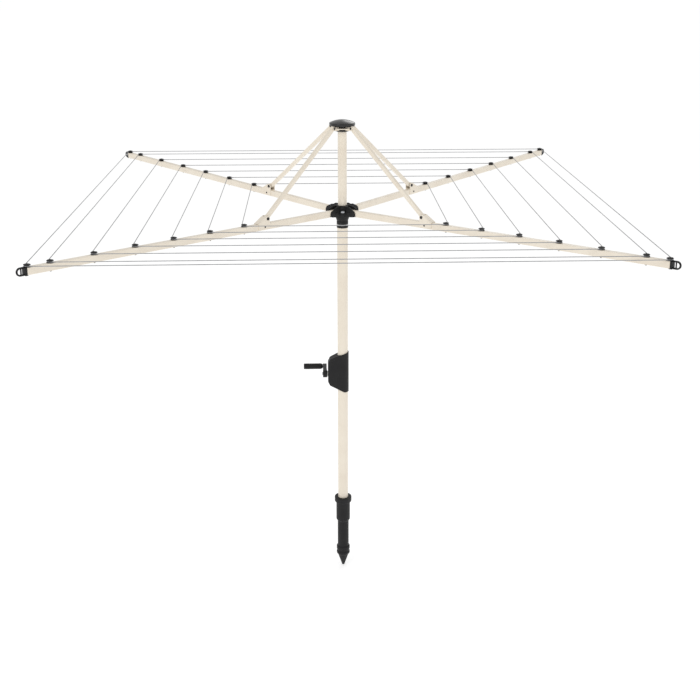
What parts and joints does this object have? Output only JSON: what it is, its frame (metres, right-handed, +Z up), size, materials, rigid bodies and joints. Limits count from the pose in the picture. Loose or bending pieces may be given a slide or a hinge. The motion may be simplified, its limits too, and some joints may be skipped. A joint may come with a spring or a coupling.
{
  "type": "rotary clothesline",
  "caption": "Rotary clothesline: a ground socket and crank-raised mast with a turning, folding head of arms, stays, line guides and square rounds of line.",
  "frame": {"origin": "on the mast's axis at ground level, on the underside of the ground socket's collar", "axes": "+Z up along the mast, -X towards the winder's nose, arms midway between the X and Y axes"},
  "size_m": [2.548, 2.548, 2.482],
  "materials": {
    "cream_paint": "semi-gloss powder coat",
    "black_plastic": "fine-textured moulding",
    "gloss_black_plastic": "smooth, glossy",
    "black_steel": "black oxide",
    "zinc_steel": "zinc plated",
    "grey_plastic": "moulded",
    "white_plastic": "moulded acetal",
    "brake_rubber": "friction lining",
    "grey_line": "smooth coated line"
  },
  "bodies": {
    "base": {"ground_socket": "black_plastic", "outer_mast": "cream_paint", "mast_top_bush": "black_plastic", "thrust_washer": "grey_plastic", "winder_shell_front": "black_plastic", "winder_shell_back": "black_plastic", "winder_screws": "black_steel", "crank_bushes": "white_plastic", "brake_pad": "brake_rubber"},
    "crank": {"crank_shaft": "zinc_steel", "pinion": "zinc_steel", "brake_disc": "zinc_steel", "crank_arm": "black_plastic", "grip_pin": "zinc_steel"},
    "grip": {"crank_grip": "black_plastic"},
    "carriage": {"lift_carriage": "white_plastic", "lift_rack": "zinc_steel", "thrust_ring": "white_plastic"},
    "upper_mast": {"inner_mast": "cream_paint", "mast_foot": "white_plastic", "crown_collar": "black_plastic", "crown_plate": "cream_paint", "crown_pins": "black_steel", "top_cap": "gloss_black_plastic"},
    "hub": {"hub_body": "black_plastic", "hub_pins": "black_steel", "lock_spring": "zinc_steel"},
    "lock": {"lock_button": "zinc_steel"},
    "arm_1": {"arm_tube_1": "cream_paint", "arm_tip_1": "black_plastic", "line_guides_1": "black_plastic", "guide_screws_1": "black_steel", "stay_bracket_1": "cream_paint", "bracket_pins_1": "black_steel", "lines_1": "grey_line"},
    "stay_arm_1": {"stay_1": "cream_paint"},
    "arm_2": {"arm_tube_2": "cream_paint", "arm_tip_2": "black_plastic", "line_guides_2": "black_plastic", "guide_screws_2": "black_steel", "stay_bracket_2": "cream_paint", "bracket_pins_2": "black_steel", "lines_2": "grey_line"},
    "stay_arm_2": {"stay_2": "cream_paint"},
    "arm_3": {"arm_tube_3": "cream_paint", "arm_tip_3": "black_plastic", "line_guides_3": "black_plastic", "guide_screws_3": "black_steel", "stay_bracket_3": "cream_paint", "bracket_pins_3": "black_steel", "lines_3": "grey_line"},
    "stay_arm_3": {"stay_3": "cream_paint"},
    "arm_4": {"arm_tube_4": "cream_paint", "arm_tip_4": "black_plastic", "line_guides_4": "black_plastic", "guide_screws_4": "black_steel", "stay_bracket_4": "cream_paint", "bracket_pins_4": "black_steel", "lines_4": "grey_line"},
    "stay_arm_4": {"stay_4": "cream_paint"}
  },
  "joints": [
    {"name": "lift", "type": "slide", "parent": "base", "child": "carriage", "axis": [0, 0, 1], "range_m": [0, 0.4]},
    {"name": "crank_turn", "type": "hinge", "parent": "base", "child": "crank", "pos_m": [0, 0, 0.757], "axis": [1, 0, 0], "range_deg": [0, 2183]},
    {"name": "grip_spin", "type": "hinge", "parent": "crank", "child": "grip", "pos_m": [-0.15, 0.108, 0.757], "axis": [1, 0, 0], "continuous": true},
    {"name": "head_spin", "type": "hinge", "parent": "carriage", "child": "upper_mast", "pos_m": [0, 0, 0.885], "axis": [0, 0, 1], "continuous": true},
    {"name": "fold", "type": "slide", "parent": "upper_mast", "child": "hub", "axis": [0, 0, 1], "range_m": [0, 0.29436], "deforming": ["lines_1", "lines_2", "lines_3", "lines_4"]},
    {"name": "lock_pull", "type": "slide", "parent": "hub", "child": "lock", "axis": [0, -1, 0], "range_m": [0, 0.006], "stiffness_N_per_m": 600, "springref_m": -0.006, "deforming": ["lock_spring"]},
    {"name": "arm_1_fold", "type": "hinge", "parent": "hub", "child": "arm_1", "pos_m": [0.04101, 0.04101, 1.6265], "axis": [-0.7071, 0.7071, 0], "range_deg": [0, 80.1]},
    {"name": "stay_1_turn", "type": "hinge", "parent": "arm_1", "child": "stay_arm_1", "pos_m": [0.36557, 0.36557, 1.681], "axis": [-0.7071, 0.7071, 0], "range_deg": [-41.2, 0]},
    {"name": "arm_2_fold", "type": "hinge", "parent": "hub", "child": "arm_2", "pos_m": [-0.04101, 0.04101, 1.6265], "axis": [-0.7071, -0.7071, 0], "range_deg": [0, 80.1]},
    {"name": "stay_2_turn", "type": "hinge", "parent": "arm_2", "child": "stay_arm_2", "pos_m": [-0.36557, 0.36557, 1.681], "axis": [-0.7071, -0.7071, 0], "range_deg": [-41.2, 0]},
    {"name": "arm_3_fold", "type": "hinge", "parent": "hub", "child": "arm_3", "pos_m": [-0.04101, -0.04101, 1.6265], "axis": [0.7071, -0.7071, 0], "range_deg": [0, 80.1]},
    {"name": "stay_3_turn", "type": "hinge", "parent": "arm_3", "child": "stay_arm_3", "pos_m": [-0.36557, -0.36557, 1.681], "axis": [0.7071, -0.7071, 0], "range_deg": [-41.2, 0]},
    {"name": "arm_4_fold", "type": "hinge", "parent": "hub", "child": "arm_4", "pos_m": [0.04101, -0.04101, 1.6265], "axis": [0.7071, 0.7071, 0], "range_deg": [0, 80.1]},
    {"name": "stay_4_turn", "type": "hinge", "parent": "arm_4", "child": "stay_arm_4", "pos_m": [0.36557, -0.36557, 1.681], "axis": [0.7071, 0.7071, 0], "range_deg": [-41.2, 0]}
  ],
  "couplings": [
    {"joint": "crank_turn", "follows": "lift", "rad_per_m": 95.238},
    {"joint": "arm_1_fold", "follows": "fold", "rad_per_m": 4.7433},
    {"joint": "stay_1_turn", "follows": "fold", "rad_per_m": -2.4383},
    {"joint": "arm_2_fold", "follows": "fold", "rad_per_m": 4.7433},
    {"joint": "stay_2_turn", "follows": "fold", "rad_per_m": -2.4383},
    {"joint": "arm_3_fold", "follows": "fold", "rad_per_m": 4.7433},
    {"joint": "stay_3_turn", "follows": "fold", "rad_per_m": -2.4383},
    {"joint": "arm_4_fold", "follows": "fold", "rad_per_m": 4.7433},
    {"joint": "stay_4_turn", "follows": "fold", "rad_per_m": -2.4383}
  ]
}
